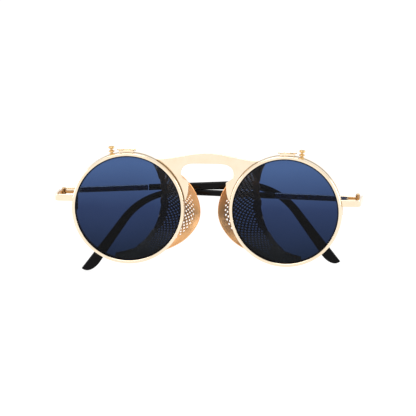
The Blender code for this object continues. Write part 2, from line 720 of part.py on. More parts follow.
def make_flip_half(name, side, axis, direction, rooms):
    """Half of a flip hinge: a foot with a barrel, cleared where the other half's knuckles turn."""
    foot_depth = RIM_WIDTH - FLIP_SADDLE_INSET + SEAT_GAP / 2
    half_hinge = add_mesh(saddle(side, direction * foot_depth), name, gold(name), axis)
    along_x = (0.0, math.pi / 2, 0.0)
    end = FLIP_HINGE_LENGTH / 2
    barrel = rod_tool(name + "_barrel", FLIP_BARREL_RADIUS, -end, end, (0.0, 0.0, 0.0), along_x,
                      axis)
    combine(half_hinge, barrel, "UNION")
    for index, (room_start, room_end) in enumerate(rooms):
        room = rod_tool(f"{name}_room_{index}", FLIP_BARREL_RADIUS + SEAT_GAP, room_start,
                        room_end, (0.0, 0.0, 0.0), along_x, axis)
        combine(half_hinge, room, "DIFFERENCE")
    bore = rod_tool(name + "_bore", FLIP_PIN_RADIUS + BORE_CLEARANCE, -end - CUT_OVERRUN,
                    end + CUT_OVERRUN, (0.0, 0.0, 0.0), along_x, axis, SCREW_SEGMENTS)
    combine(half_hinge, bore, "DIFFERENCE")
    return half_hinge


def make_flip_hinge(label, side, axis):
    """Bracket with two outer knuckles on the eyewire, and a knuckle between them on the flip rim."""
    middle = FLIP_MIDDLE_KNUCKLE / 2
    past_end = FLIP_HINGE_LENGTH / 2 + CUT_OVERRUN
    make_flip_half(label + "_flip_hinge_bracket", side, axis, 1,
                   ((-middle - SEAT_GAP, middle + SEAT_GAP),))
    make_flip_half(label + "_flip_knuckle", side, axis, -1,
                   ((-past_end, -middle), (middle, past_end)))


def make_flip_pin(label, axis):
    """Pin through the flip hinge, upset at both ends."""
    reach = FLIP_HINGE_LENGTH / 2 + SEAT_GAP
    head = reach + FLIP_PIN_HEAD_LENGTH
    profile = [(0.0, -head), (FLIP_PIN_HEAD_RADIUS, -head), (FLIP_PIN_HEAD_RADIUS, -reach),
               (FLIP_PIN_RADIUS, -reach), (FLIP_PIN_RADIUS, reach),
               (FLIP_PIN_HEAD_RADIUS, reach), (FLIP_PIN_HEAD_RADIUS, head), (0.0, head)]
    name = label + "_flip_hinge_pin"
    return add_mesh(turned(profile, SCREW_SEGMENTS), name, steel(name), axis,
                    turn=(0.0, math.pi / 2, 0.0))


STUD_FOOT_SHARE = 0.8
STUD_CROWN_SHARE = 0.8


def make_stud(label, side, axis):
    """Spool-shaped stud on the flip rim, which the finger lifts; its foot fits the rim's curve."""
    unit = STUD_HEIGHT / 12
    foot = STUD_DISC_RADIUS * STUD_FOOT_SHARE
    waist = STUD_NECK_RADIUS
    disc = STUD_DISC_RADIUS
    rounded = disc * STUD_CROWN_SHARE
    profile = [(0.0, -2 * unit), (foot, -2 * unit), (foot, unit), (waist, 1.5 * unit),
               (waist, 2 * unit), (rounded, 2.4 * unit), (disc, 3.2 * unit), (disc, 5.2 * unit),
               (rounded, 6 * unit), (waist, 6.4 * unit), (waist, 7.6 * unit),
               (rounded, 8 * unit), (disc, 8.8 * unit), (disc, 11 * unit),
               (rounded, 12 * unit), (0.0, 12 * unit)]
    name = label + "_flip_stud"
    seat_height = math.sqrt(SEAT_RADIUS ** 2 - STUD_OFFSET ** 2)
    depth = FLIP_RIM_MIDDLE - FLIP_AXIS_DEPTH
    place = (side * (STUD_OFFSET - FLIP_HINGE_OFFSET), depth, seat_height - FLIP_AXIS_HEIGHT)
    stud = add_mesh(turned(profile, BARREL_SEGMENTS), name, gold(name), axis, place,
                    (0.0, side * STUD_LEAN, 0.0))
    room = rod_tool(name + "_rim_room", SEAT_RADIUS, -RIM_WIDTH, RIM_WIDTH,
                    (-side * FLIP_HINGE_OFFSET, depth, -FLIP_AXIS_HEIGHT),
                    (math.pi / 2, 0.0, 0.0), axis, RIM_SEGMENTS * 2)
    combine(stud, room, "DIFFERENCE")
    return stud


def temple_line(bend_start):
    """Centre line of a temple as (run, height, slope): straight, then bent down to the tip."""
    line = [(TIP_START, 0.0, 0.0), ((TIP_START + bend_start) / 2, 0.0, 0.0)]
    for step in range(7):
        slope = TIP_BEND_ANGLE * step / 6
        line.append((bend_start + TIP_BEND_RADIUS * math.sin(slope),
                     -TIP_BEND_RADIUS * (1 - math.cos(slope)), slope))
    corner = line[-1]
    straight = TIP_RUN - TIP_ROUND_LENGTH
    runs = [straight * step / 3 for step in (1, 2, 3)]
    runs += [straight + TIP_ROUND_LENGTH * math.sin(math.pi / 2 * step / 5) for step in (1, 2, 3, 4, 5)]
    for run in runs:
        line.append((corner[0] + run * math.cos(TIP_BEND_ANGLE),
                     corner[1] - run * math.sin(TIP_BEND_ANGLE), TIP_BEND_ANGLE))
    return line


def temple_point(bent, run, height, slope, outwards, above):
    """Point beside the centre line: outwards of it and above it, square to its slope."""
    side, rise, lift, _ = bent
    along = run + above * math.sin(slope)
    up = height + above * math.cos(slope)
    return (-side * along, ARM_MIDDLE + outwards, lift + up + run * math.tan(rise))


def tip_section(upper, lower, half_thickness):
    """Section of the tip as (outwards, above): flat sides, rounded top and bottom edges."""
    middle, half = (upper - lower) / 2, (upper + lower) / 2
    section = []
    for step in range(TIP_SEGMENTS):
        angle = 2 * math.pi * (step + 0.5) / TIP_SEGMENTS
        across, along = math.cos(angle), math.sin(angle)
        section.append((half_thickness * math.copysign(abs(across) ** 0.45, across),
                        middle + half * math.copysign(abs(along) ** 0.6, along)))
    return section


def make_temple_tip(label, bent, axis):
    """Black sleeve from the arm down to the ear, a paddle whose lower edge curves up at the end."""
    bend_start = bent[-1]
    line = temple_line(bend_start)
    loops = []
    end = line[-1]
    for run, height, slope in line:
        grown = min(max((run - bend_start) / (end[0] - bend_start), 0.0), 1.0)
        half = (TIP_NECK_HEIGHT + (TIP_PADDLE_HEIGHT - TIP_NECK_HEIGHT) * grown ** 2) / 2
        left_over = (end[0] - run) / math.cos(TIP_BEND_ANGLE)
        rounding = max(1 - left_over / TIP_ROUND_LENGTH, 0.0)
        lower = -half + TIP_END_HEIGHT + (2 * half - TIP_END_HEIGHT) * math.sqrt(1 - rounding ** 2)
        thickness = TIP_THICKNESS * (1 - 0.3 * rounding ** 3)
        section = tip_section(half, lower, thickness / 2)
        loops.append([temple_point(bent, run, height, slope, out, above)
                      for out, above in section])
    name = label + "_temple_tip"
    tip = add_mesh(loft(loops), name, black_plastic(name), axis)
    bore = core_wire(name + "_bore", bent, axis, SEAT_GAP, CUT_OVERRUN)
    combine(tip, bore, "DIFFERENCE")
    return tip


def core_wire(name, bent, axis, margin, overrun):
    """Flat wire inside the tip, with a margin all round when it cuts the tip's bore."""
    line = [(TIP_START - overrun - SEAT_GAP + margin, 0.0, 0.0)]
    line += temple_line(bent[-1])[1:9]
    corner = line[-1]
    run = (TIP_RUN - TIP_ROUND_LENGTH) * TANG_RUN_SHARE + margin
    line.append((corner[0] + run * math.cos(TIP_BEND_ANGLE),
                 corner[1] - run * math.sin(TIP_BEND_ANGLE), TIP_BEND_ANGLE))
    half_thickness = TANG_THICKNESS / 2 + margin
    half_height = TANG_HEIGHT / 2 + margin
    corners = ((-half_thickness, -half_height), (half_thickness, -half_height),
               (half_thickness, half_height), (-half_thickness, half_height))
    loops = [[temple_point(bent, run, height, slope, out, above)
              for out, above in corners] for run, height, slope in line]
    return add_mesh(loft(loops), name, parent=axis)


def make_temple_arm(label, bent, axis):
    """Gold arm with a shallow channel along both faces, and the core wire for the black tip."""
    half, thick = ARM_HEIGHT / 2, ARM_THICKNESS / 2
    lip = half - ARM_EDGE * 2
    floor = thick - ARM_CHANNEL_DEPTH
    quarter = [(thick, lip), (thick, half - ARM_EDGE), (thick - ARM_EDGE, half)]
    right = [(floor, -lip + ARM_EDGE), (floor, lip - ARM_EDGE)] + quarter
    upper_left = [(-out, above) for out, above in reversed(quarter)]
    left = [(-floor, lip - ARM_EDGE), (-floor, -lip + ARM_EDGE)]
    lower_left = [(-out, -above) for out, above in quarter]
    lower_right = [(out, -above) for out, above in reversed(quarter)]
    section = right + upper_left + left + lower_left + lower_right
    loops = [[temple_point(bent, run, 0.0, 0.0, out, above)
              for out, above in section] for run in (SEAT_GAP, TIP_START - SEAT_GAP)]
    name = label + "_temple_arm"
    arm = add_mesh(loft(loops), name, gold(name), axis)
    wire = core_wire(name + "_core", bent, axis, 0.0, CUT_OVERRUN)
    combine(arm, wire, "UNION")
    return arm


def build():
    """Put the pair of glasses together."""
    clear_scene()
    add_frame_centre()
    make_bridge()
    bends = {"left": (-1, LEFT_TEMPLE_RISE, TEMPLE_STAGGER, LEFT_TIP_BEND_START),
             "right": (1, RIGHT_TEMPLE_RISE, -TEMPLE_STAGGER, RIGHT_TIP_BEND_START)}
    folds = {"left": LEFT_FOLD_ANGLE, "right": RIGHT_FOLD_ANGLE}
    for label, side in SIDES:
        make_eyewire(label, side)
        make_lens(label + "_clear_lens", clear_glass(label + "_clear_lens"),
                  CLEAR_LENS_THICKNESS, (side * HALF_SPACING, EYEWIRE_MIDDLE, 0.0))
        make_nose_shield(label, side)
        make_end_piece(label, side)
        make_rim_lock(label, side)
        make_frame_leaf(label, side)
        make_hinge_screw(label, side)
        flip_axis = add_axis(label + "_flip_axis",
                             (side * FLIP_AXIS_OUT, FLIP_AXIS_DEPTH, FLIP_AXIS_HEIGHT))
        make_flip_hinge(label, side, flip_axis)
        make_flip_pin(label, flip_axis)
        make_flip_rim(label, side, flip_axis)
        make_lens(label + "_tinted_lens", blue_glass(label + "_tinted_lens"),
                  TINTED_LENS_THICKNESS,
                  (-side * FLIP_HINGE_OFFSET, FLIP_RIM_MIDDLE - FLIP_AXIS_DEPTH,
                   -FLIP_AXIS_HEIGHT), flip_axis)
        make_stud(label, side, flip_axis)
        temple_axis = add_axis(label + "_temple_axis",
                               (side * HINGE_AXIS_OUT, HINGE_AXIS_DEPTH, HINGE_LIFT),
                               -side * folds[label])
        make_temple_leaf(label, side, temple_axis)
        make_temple_arm(label, bends[label], temple_axis)
        make_temple_tip(label, bends[label], temple_axis)


build()
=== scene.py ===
"""Round flip-up sunglasses with pierced nose shields: the looks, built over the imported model."""
import math

import bmesh
import bpy
import numpy as np
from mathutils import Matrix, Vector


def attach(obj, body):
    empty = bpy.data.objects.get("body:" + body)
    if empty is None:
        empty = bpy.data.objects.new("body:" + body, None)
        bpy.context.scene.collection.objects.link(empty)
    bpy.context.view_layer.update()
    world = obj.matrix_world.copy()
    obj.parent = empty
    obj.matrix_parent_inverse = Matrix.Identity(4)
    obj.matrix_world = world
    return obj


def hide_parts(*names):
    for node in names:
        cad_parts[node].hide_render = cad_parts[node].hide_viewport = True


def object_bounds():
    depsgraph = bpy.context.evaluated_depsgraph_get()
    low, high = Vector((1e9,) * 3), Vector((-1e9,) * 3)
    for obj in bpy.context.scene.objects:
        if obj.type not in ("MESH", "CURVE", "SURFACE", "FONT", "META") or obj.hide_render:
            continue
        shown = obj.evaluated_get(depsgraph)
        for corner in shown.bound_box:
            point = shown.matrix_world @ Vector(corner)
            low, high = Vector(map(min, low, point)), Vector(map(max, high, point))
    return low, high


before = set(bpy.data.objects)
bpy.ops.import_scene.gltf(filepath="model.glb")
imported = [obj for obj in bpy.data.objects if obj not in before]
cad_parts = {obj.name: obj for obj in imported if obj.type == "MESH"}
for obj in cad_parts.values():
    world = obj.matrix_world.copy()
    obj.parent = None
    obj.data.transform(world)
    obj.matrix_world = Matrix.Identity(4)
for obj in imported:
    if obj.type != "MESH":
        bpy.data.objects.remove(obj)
cad_box = [[float(value) for value in corner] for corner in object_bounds()]


# Eyewires. The fixed round rims are rolled from half-round brass wire with a groove inside for
# the lens, slit at the outer side where two blocks draw them shut, then polished and plated in
# pale gold. The bridge, the shields and the end pieces are soldered to them.
EYE_OUT, EYE_BACK, EYE_UP = 0.0361, -0.0004, -0.02335
SIDES = (("left", -1), ("right", 1))
RIM_OPENING, RIM_OUTSIDE, RIM_WIDTH = 0.0242, 0.0258, 0.0026
RIM_GROOVE, GROOVE_SHARE, RIM_SQUARING, RIM_INSIDE = 0.0007, 0.13, 0.62, -0.3
SLIT_UP, SLIT_HALF = 0.0011, 0.00015
RIM_STEPS, RIM_CORNERS = 200, 40
WELD, SLIVER = 1e-7, 1e-8
# Bounds of the painted shade on the rims: the wall round the lens, the outer shoulder, and the
# joint between the two rims.
PAINTED_SHADE_WALL, PAINTED_SHADE_SHOULDER, PAINTED_SHADE_JOINT = (0.00022, 0.00008), (0.0006, 0.00045), (0.00045, 0.00025)


def linear(code):
    """Linear colour from sRGB hex: each share to the power 2.4, with the straight foot below."""
    shares = np.array([int(code[at:at + 2], 16) for at in (1, 3, 5)]) / 255
    values = np.where(shares <= 0.04045, shares / 12.92, ((shares + 0.055) / 1.055) ** 2.4)
    return (*values.tolist(), 1.0)


def add_node(tree, kind, settings=None, links=None):
    """Adds a node with its settings, and links sockets of earlier nodes into it.

    A mix of colours takes its share in socket 0 and the colours in 6 and 7, and gives output 2.
    """
    made = tree.nodes.new(kind)
    for key, value in (settings or {}).items():
        if isinstance(key, int) or key in made.inputs:
            made.inputs[key].default_value = value
        else:
            setattr(made, key, value)
    for key, socket in (links or {}).items():
        tree.links.new(socket, made.inputs[key])
    return made


def start_material(name):
    """New material and its node tree, emptied."""
    material = bpy.data.materials.new(name)
    material.use_nodes = True
    material.node_tree.nodes.clear()
    return material, material.node_tree


def gold_plated(name, bright="#FAECD6", deep="#F2DCBB", smooth=0.09, rough=0.19, grain=5200):
    """Pale gold plate over polished brass: cloudy tone, hazier patches and hairline polishing.

    Plating follows the buffed metal below, so the eye sees a warm mirror whose reflections
    break slightly along fine scratches about 0.2 mm apart, drawn coarser than real ones. The
    clouds are about 6 mm across and the hazier patches 1 mm.
    """
    material, tree = start_material(name)
    place = add_node(tree, "ShaderNodeTexCoord").outputs["Object"]
    cloud = add_node(tree, "ShaderNodeTexNoise", {"Scale": 160, "Detail": 3, "Roughness": 0.55},
                     {"Vector": place})
    tone = add_node(tree, "ShaderNodeMix", {"data_type": "RGBA", 6: linear(bright),
                                            7: linear(deep)}, {0: cloud.outputs["Fac"]})
    haze = add_node(tree, "ShaderNodeTexNoise", {"Scale": 900, "Detail": 4, "Roughness": 0.6},
                    {"Vector": place})
    roughness = add_node(tree, "ShaderNodeMapRange", {"From Min": 0.3, "From Max": 0.75,
                                                      "To Min": smooth, "To Max": rough},
                         {"Value": haze.outputs["Fac"]})
    stretched = add_node(tree, "ShaderNodeMapping", {"Rotation": (0.3, 0.9, 0.2),
                                                     "Scale": (1.0, 1.0, 0.12)},
                         {"Vector": place})
    lines = add_node(tree, "ShaderNodeTexNoise", {"Scale": grain, "Detail": 2},
                     {"Vector": stretched.outputs[0]})
    bump = add_node(tree, "ShaderNodeBump", {"Strength": 0.06, "Distance": 0.00004},
                    {"Height": lines.outputs["Fac"]})
    shader = add_node(tree, "ShaderNodeBsdfPrincipled", {"Metallic": 1.0},
                      {"Base Color": tone.outputs[2], "Roughness": roughness.outputs[0],
                       "Normal": bump.outputs[0]})
    add_node(tree, "ShaderNodeOutputMaterial", {}, {"Surface": shader.outputs[0]})
    return material


def mesh_piece(name, points, faces, finish, sharp=40):
    """Mesh from an array of points and lists of corner numbers, welded and turned outwards.

    Edges between faces that meet at more than the sharp angle, in degrees, stay hard.
    """
    mesh = bpy.data.meshes.new(name)
    mesh.from_pydata(np.asarray(points).reshape(-1, 3).tolist(), [], faces)
    work = bmesh.new()
    work.from_mesh(mesh)
    bmesh.ops.remove_doubles(work, verts=work.verts, dist=WELD)
    bmesh.ops.dissolve_degenerate(work, edges=work.edges, dist=SLIVER)
    bmesh.ops.recalc_face_normals(work, faces=work.faces)
    work.to_mesh(mesh)
    work.free()
    mesh.shade_smooth()
    mesh.set_sharp_from_angle(angle=math.radians(sharp))
    mesh.materials.append(finish)
    piece = bpy.data.objects.new(name, mesh)
    bpy.context.scene.collection.objects.link(piece)
    return piece


def grid_faces(rows, columns, wrap_rows=False, wrap_columns=False):
    """Four-cornered faces of a grid of points, joined end to end where it wraps."""
    row = np.arange(rows if wrap_rows else rows - 1)[:, None]
    column = np.arange(columns if wrap_columns else columns - 1)[None, :]
    after_row, after_column = (row + 1) % rows, (column + 1) % columns
    corners = np.stack([row * columns + column, row * columns + after_column,
                        after_row * columns + after_column, after_row * columns + column],
                       axis=-1)
    return corners.reshape(-1, 4).tolist()


def carried(name, sections, finish, closed=False, sharp=40):
    """Closed body from sections, an array of step x corner x 3, capped unless it closes."""
    steps, corners = sections.shape[:2]
    faces = grid_faces(steps, corners, closed, True)
    if not closed:
        faces += [list(range(corners)), list(range((steps - 1) * corners, steps * corners))[::-1]]
    return mesh_piece(name, sections, faces, finish, sharp)


def squared(wave, power):
    """A sine or cosine pushed out towards a square wave: its size to a power, its sign kept."""
    return np.sign(wave) * np.abs(wave) ** power


def rim_section():
    """Section of a rim as radius and depth: a rounded box, dented inside by the lens groove.

    Both run round an oval that is squared by a low power of its sine and cosine, and the
    groove adds a bell curve to the radius on the inner side.
    """
    turn = np.linspace(0, 2 * np.pi, RIM_CORNERS, endpoint=False) + np.pi / RIM_CORNERS
    depth = RIM_WIDTH / 2 * squared(np.sin(turn), RIM_SQUARING)
    radius = ((RIM_OUTSIDE + RIM_OPENING) / 2
              + (RIM_OUTSIDE - RIM_OPENING) / 2 * squared(np.cos(turn), RIM_SQUARING))
    dent = RIM_GROOVE * np.exp(-(depth / (RIM_WIDTH * GROOVE_SHARE)) ** 2)
    return radius + dent * (np.cos(turn) < RIM_INSIDE), depth


def ring_sections(side, middle, angles):
    """The rim's section at each angle round the eye, as points; angle 0 is the outer side."""
    radius, depth = rim_section()
    turn = angles[:, None]
    return np.stack([side * (EYE_OUT + radius * np.cos(turn)),
                     EYE_BACK + middle + depth + 0 * turn,
                     EYE_UP + radius * np.sin(turn)], axis=-1)


def eye_radius(tree, parts):
    """Distance from the nearer eye's axis, as a socket.

    It is the length of (absolute x less the eye's distance, z less the eye's height).
    """
    out = add_node(tree, "ShaderNodeMath", {"operation": "ABSOLUTE"}, {0: parts.outputs["X"]})
    out = add_node(tree, "ShaderNodeMath", {"operation": "SUBTRACT", 1: EYE_OUT},
                   {0: out.outputs[0]})
    above = add_node(tree, "ShaderNodeMath", {"operation": "SUBTRACT", 1: EYE_UP},
                     {0: parts.outputs["Z"]})
    flat = add_node(tree, "ShaderNodeCombineXYZ", {}, {0: out.outputs[0], 1: above.outputs[0]})
    return add_node(tree, "ShaderNodeVectorMath", {"operation": "LENGTH"},
                    {0: flat.outputs[0]}).outputs["Value"]


def rim_gold_with_painted_shade(name, joint):
    """Pale gold with painted shade in dark brown.

    The painted shade covers the wall round the lens, and the outer shoulder beside the other
    rim within a hair of the joint between the two. It fades out over about 0.15 mm.
    """
    material = gold_plated(name)
    tree = material.node_tree
    place = add_node(tree, "ShaderNodeTexCoord").outputs["Object"]
    parts = add_node(tree, "ShaderNodeSeparateXYZ", {}, {0: place})
    radius = eye_radius(tree, parts)
    wall = add_node(tree, "ShaderNodeMapRange", {"From Min": RIM_OPENING + PAINTED_SHADE_WALL[0],
                                                 "From Max": RIM_OPENING + PAINTED_SHADE_WALL[1]},
                    {"Value": radius})
    shoulder = add_node(tree, "ShaderNodeMapRange", {"From Min": RIM_OUTSIDE - PAINTED_SHADE_SHOULDER[0],
                                                     "From Max": RIM_OUTSIDE - PAINTED_SHADE_SHOULDER[1]},
                        {"Value": radius})
    beside = add_node(tree, "ShaderNodeMath", {"operation": "SUBTRACT", 1: joint},
                      {0: parts.outputs["Y"]})
    beside = add_node(tree, "ShaderNodeMath", {"operation": "ABSOLUTE"}, {0: beside.outputs[0]})
    beside = add_node(tree, "ShaderNodeMapRange", {"From Min": PAINTED_SHADE_JOINT[0],
                                                   "From Max": PAINTED_SHADE_JOINT[1]},
                      {"Value": beside.outputs[0]})
    shoulder = add_node(tree, "ShaderNodeMath", {"operation": "MULTIPLY"},
                        {0: shoulder.outputs[0], 1: beside.outputs[0]})
    painted_shade = add_node(tree, "ShaderNodeMath", {"operation": "MAXIMUM"},
                    {0: wall.outputs[0], 1: shoulder.outputs[0]})
    base = next(node for node in tree.nodes if node.type == "BSDF_PRINCIPLED").inputs["Base Color"]
    # Painted shade: the base colour turns dark brown on the lens wall and beside the joint between
    # the rims.
    tone = add_node(tree, "ShaderNodeMix", {"data_type": "RGBA", 7: linear("#4F3720")},
                    {0: painted_shade.outputs[0], 6: base.links[0].from_socket})
    tree.links.new(tone.outputs[2], base)
    return material


gold = gold_plated("polished_pale_gold_plate")
eyewire_gold = rim_gold_with_painted_shade("pale_gold_eyewire_painted_shade", EYE_BACK)
slit_start = math.asin((SLIT_UP + SLIT_HALF) / RIM_OUTSIDE)
slit_end = 2 * math.pi + math.asin((SLIT_UP - SLIT_HALF) / RIM_OUTSIDE)
wire_turns = np.linspace(slit_start, slit_end, RIM_STEPS)
for label, side in SIDES:
    eyewire = carried(label + "_eyewire_ring", ring_sections(side, RIM_WIDTH / 2, wire_turns),
                      eyewire_gold)
    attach(eyewire, "root")
    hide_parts(label + "_eyewire")


# Clear lenses. Thin clear resin discs, ground to a shallow curve and bevelled at the edge, which
# snap into the grooves of the eyewires. They stay in place when the tinted lenses are lifted.
LENS_CURVE, CLEAR_THICKNESS = 0.26, 0.0012
LENS_PLAY, BEVEL_PLAY, LENS_RINGS, LENS_STEPS = 0.0003, 0.00042, 14, 128


def clear_resin(name):
    """Polished optical resin: almost colourless, mirror smooth, with the faintest cloud.

    The eye looks through it and sees only its reflections. The cloud is about 11 mm across.
    """
    material, tree = start_material(name)
    place = add_node(tree, "ShaderNodeTexCoord").outputs["Object"]
    cloud = add_node(tree, "ShaderNodeTexNoise", {"Scale": 90, "Detail": 2}, {"Vector": place})
    tone = add_node(tree, "ShaderNodeMix", {"data_type": "RGBA", 6: linear("#FBFDFD"),
                                            7: linear("#F5FAFC")}, {0: cloud.outputs["Fac"]})
    shader = add_node(tree, "ShaderNodeBsdfPrincipled",
                      {"Roughness": 0.01, "IOR": 1.15, "Transmission Weight": 1.0},
                      {"Base Color": tone.outputs[2]})
    add_node(tree, "ShaderNodeOutputMaterial", {}, {"Surface": shader.outputs[0]})
    return material


def lens_disc(name, side, middle, thickness, finish):
    """Disc turned about the eye's axis.

    Front and back rise towards the middle by the height of a shallow sphere over its rim, and
    the edge runs out to a V that sits in the groove.
    """
    body = RIM_OPENING - LENS_PLAY
    tip = RIM_OPENING + RIM_GROOVE - BEVEL_PLAY
    run = body * np.sin(np.linspace(0, np.pi / 2, LENS_RINGS))
    rise = np.sqrt(LENS_CURVE ** 2 - run ** 2) - math.sqrt(LENS_CURVE ** 2 - body ** 2)
    radius = np.concatenate([run, [tip], run[::-1]])
    depth = np.concatenate([-thickness / 2 - rise, [0.0], (thickness / 2 - rise)[::-1]])
    turn = np.linspace(0, 2 * np.pi, LENS_STEPS, endpoint=False)[:, None]
    points = np.stack([side * EYE_OUT + radius * np.cos(turn),
                       EYE_BACK + middle + depth + 0 * turn,
                       EYE_UP + radius * np.sin(turn)], axis=-1)
    return mesh_piece(name, points, grid_faces(*points.shape[:2], wrap_rows=True), finish, 30)


clear = clear_resin("polished_clear_resin")
for label, side in SIDES:
    lens = lens_disc(label + "_clear_disc", side, RIM_WIDTH / 2, CLEAR_THICKNESS, clear)
    # Left out of what a tinted lens shows, so that the render keeps the shields' holes there.
    lens.visible_transmission = lens.visible_shadow = False
    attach(lens, "root")
    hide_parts(label + "_clear_lens")


# Bridge. A flat plate blanked from sheet brass, arched over the nose by a keyhole whose two
# cusps run down beside the rims. It is soldered to both eyewires, polished and gold plated.
BRIDGE_TOP, BRIDGE_CROWN, BRIDGE_THICKNESS, BRIDGE_FRONT = 0.0258, 0.0049, 0.0012, 0.0004
SHOULDER, TONGUE = math.radians(61), math.radians(7.5)
SEAT, RIM_CLEAR, BLUNT, EDGE_ROUNDING = RIM_OUTSIDE + 0.0001, 0.0261, 0.0006, 0.00022
CUSP_UP, CUSP_IN, WAIST_UP, WAIST_IN = 0.0122, 0.0045, 0.016, 0.0034


def curve(start, pull, push, end, steps=16):
    """Cubic curve from start to end, pulled towards two corners, without its first point."""
    t = np.linspace(0, 1, steps + 1)[1:, None]
    corners = np.array([start, pull, push, end])
    return ((1 - t) ** 3 * corners[0] + 3 * t * (1 - t) ** 2 * corners[1]
            + 3 * t * t * (1 - t) * corners[2] + t ** 3 * corners[3])


def bridge_half():
    """Right half of the plate's outline, from the middle of the top edge to the keyhole's top."""
    meeting = (EYE_OUT - SEAT * math.cos(SHOULDER), SEAT * math.sin(SHOULDER))
    keyhole_top = BRIDGE_TOP - BRIDGE_CROWN
    cusp = (EYE_OUT - math.sqrt(RIM_CLEAR ** 2 - CUSP_UP ** 2) - CUSP_IN, CUSP_UP)
    waist = (EYE_OUT - math.sqrt(RIM_CLEAR ** 2 - WAIST_UP ** 2) - WAIST_IN, WAIST_UP)
    crown = (waist[0] * 0.4, keyhole_top)
    turn = np.linspace(math.pi - SHOULDER, math.pi - TONGUE, 40)[1:]
    rim_side = np.stack([EYE_OUT + SEAT * np.cos(turn), SEAT * np.sin(turn)], axis=-1)
    blunt = rim_side[-1] + (-BLUNT, BLUNT)
    lean = (blunt[0] + cusp[0]) / 2 - BLUNT
    return np.concatenate([
        curve((0, BRIDGE_TOP), (meeting[0] * 0.34, BRIDGE_TOP), (meeting[0] * 0.64, meeting[1]),
              meeting, 30),
        rim_side, [blunt],
        curve(blunt, (lean, (blunt[1] * 2 + cusp[1]) / 3), (lean, (blunt[1] + cusp[1] * 2) / 3),
              cusp),
        curve(cusp, ((cusp[0] + waist[0]) / 2, (cusp[1] * 3 + waist[1]) / 4),
              (waist[0], (cusp[1] + waist[1]) / 2), waist),
        curve(waist, (waist[0], (waist[1] + keyhole_top * 2) / 3),
              ((crown[0] + waist[0] * 3) / 4, keyhole_top), crown)])


def settled(piece, sharp):
    """Works a piece's modifiers into its mesh and marks its hard edges."""
    seen = piece.evaluated_get(bpy.context.evaluated_depsgraph_get())
    mesh = bpy.data.meshes.new_from_object(seen)
    piece.modifiers.clear()
    piece.data = mesh
    mesh.shade_smooth()
    mesh.set_sharp_from_angle(angle=math.radians(sharp))


half = bridge_half()
outline = np.concatenate([half, half[::-1] * (-1, 1)])
layers = np.stack([np.insert(outline + (0, EYE_UP), 1, EYE_BACK + depth, axis=1)
                   for depth in (BRIDGE_FRONT, BRIDGE_FRONT + BRIDGE_THICKNESS)])
bridge = carried("bridge_blank", layers, gold)
softened = bridge.modifiers.new("softened_edges", "BEVEL")
softened.width, softened.segments, softened.limit_method = EDGE_ROUNDING, 3, "ANGLE"
softened.angle_limit = math.radians(50)
settled(bridge, 14)
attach(bridge, "root")
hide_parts("bridge_plate")


# Nose shields. Dished plates that rest on the nose and keep glare out, stamped from thin brass
# sheet pierced with staggered 1 mm holes inside a plain border, then pressed to shape, soldered
# to the eyewire above and below, and plated. They are the most worked parts here.
SHIELD_TOP, SHIELD_BOTTOM, SHIELD_DEPTH = 64, -106, 0.0175
SHIELD_BULGE, SHIELD_FLARE, SHIELD_LAP, SHIELD_GAP = 0.0072, 0.0064, 0.0006, 0.0001
SHIELD_WALL, HOLE_RADIUS, HALF_PITCH = 0.0004, 0.00049, 0.00108
# Rows of angle round the eye in degrees, then the free edge's radius as a share of the
# opening, and the shares of the full depth and of the full bulge there.
SHIELD_SHARES = np.array([
    (64, 0.945, 0.21, 0.03), (43, 0.736, 0.53, 0.15), (31, 0.645, 0.75, 0.38),
    (6, 0.545, 0.97, 0.84), (-12, 0.55, 1.0, 1.0), (-29, 0.575, 1.0, 0.73),
    (-55, 0.686, 0.94, 0.08), (-79, 0.845, 0.73, 0.04), (-92, 0.915, 0.46, 0.03),
    (-106, 0.97, 0.21, 0.0)])
SHIELD_SECTION = ((0.0, 0.0), (0.22, 0.4), (0.6, 0.85), (1.0, 1.0))
COLUMNS, ROWS, WEB_STEPS = 84, 24, 160
FRONT_BORDER, EDGE_BORDER, HOLES_FROM, HOLES_TO = 0.0036, 0.0033, 0.12, 0.78


def shield_shares(angle):
    """Edge, depth and bulge at an angle: cubic pieces whose slopes come from the neighbours."""
    rows = SHIELD_SHARES
    last = len(rows) - 1
    at = np.clip(np.searchsorted(-rows[:, 0], -angle, side="right") - 1, 0, last - 1)
    near, far = rows[at], rows[at + 1]
    before, after = rows[np.maximum(at - 1, 0)], rows[np.minimum(at + 2, last)]
    span = (far[..., 0] - near[..., 0])[..., None]
    t = np.clip((angle - near[..., 0])[..., None] / span, 0, 1)
    slope_near = (far - before)[..., 1:] / (far - before)[..., :1] * span
    slope_far = (after - near)[..., 1:] / (after - near)[..., :1] * span
    return ((2 * t ** 3 - 3 * t ** 2 + 1) * near[..., 1:] + (t ** 3 - 2 * t ** 2 + t) * slope_near
            + (3 * t ** 2 - 2 * t ** 3) * far[..., 1:] + (t ** 3 - t ** 2) * slope_far)


def shield_surface(side, around, along):
    """Outer face of a shield over around, top end to bottom, and along, front border to free edge.

    The front border meets the rim at both ends and stands out beside it in the middle. Each
    section is a cubic curve from there back and in towards the eye, and turns about its axis.
    """
    angle = SHIELD_TOP + (SHIELD_BOTTOM - SHIELD_TOP) * around
    edge, deep, bulge = np.moveaxis(shield_shares(angle), -1, 0)
    root, root_depth = RIM_OUTSIDE - SHIELD_LAP, RIM_WIDTH + SHIELD_GAP
    front_radius = root + SHIELD_BULGE * bulge
    front_depth = root_depth + SHIELD_FLARE * bulge
    edge_depth = root_depth + (SHIELD_DEPTH - root_depth) * deep
    weights = ((1 - along) ** 3, 3 * along * (1 - along) ** 2, 3 * along * along * (1 - along),
               along ** 3)
    inward = sum(weight * corner[0] for weight, corner in zip(weights, SHIELD_SECTION))
    backward = sum(weight * corner[1] for weight, corner in zip(weights, SHIELD_SECTION))
    radius = front_radius + (RIM_OPENING * edge - front_radius) * inward
    depth = front_depth + (edge_depth - front_depth) * backward
    turn = np.radians(angle)
    return np.stack([side * (EYE_OUT - radius * np.cos(turn)), EYE_BACK + depth,
                     EYE_UP + radius * np.sin(turn)], axis=-1)


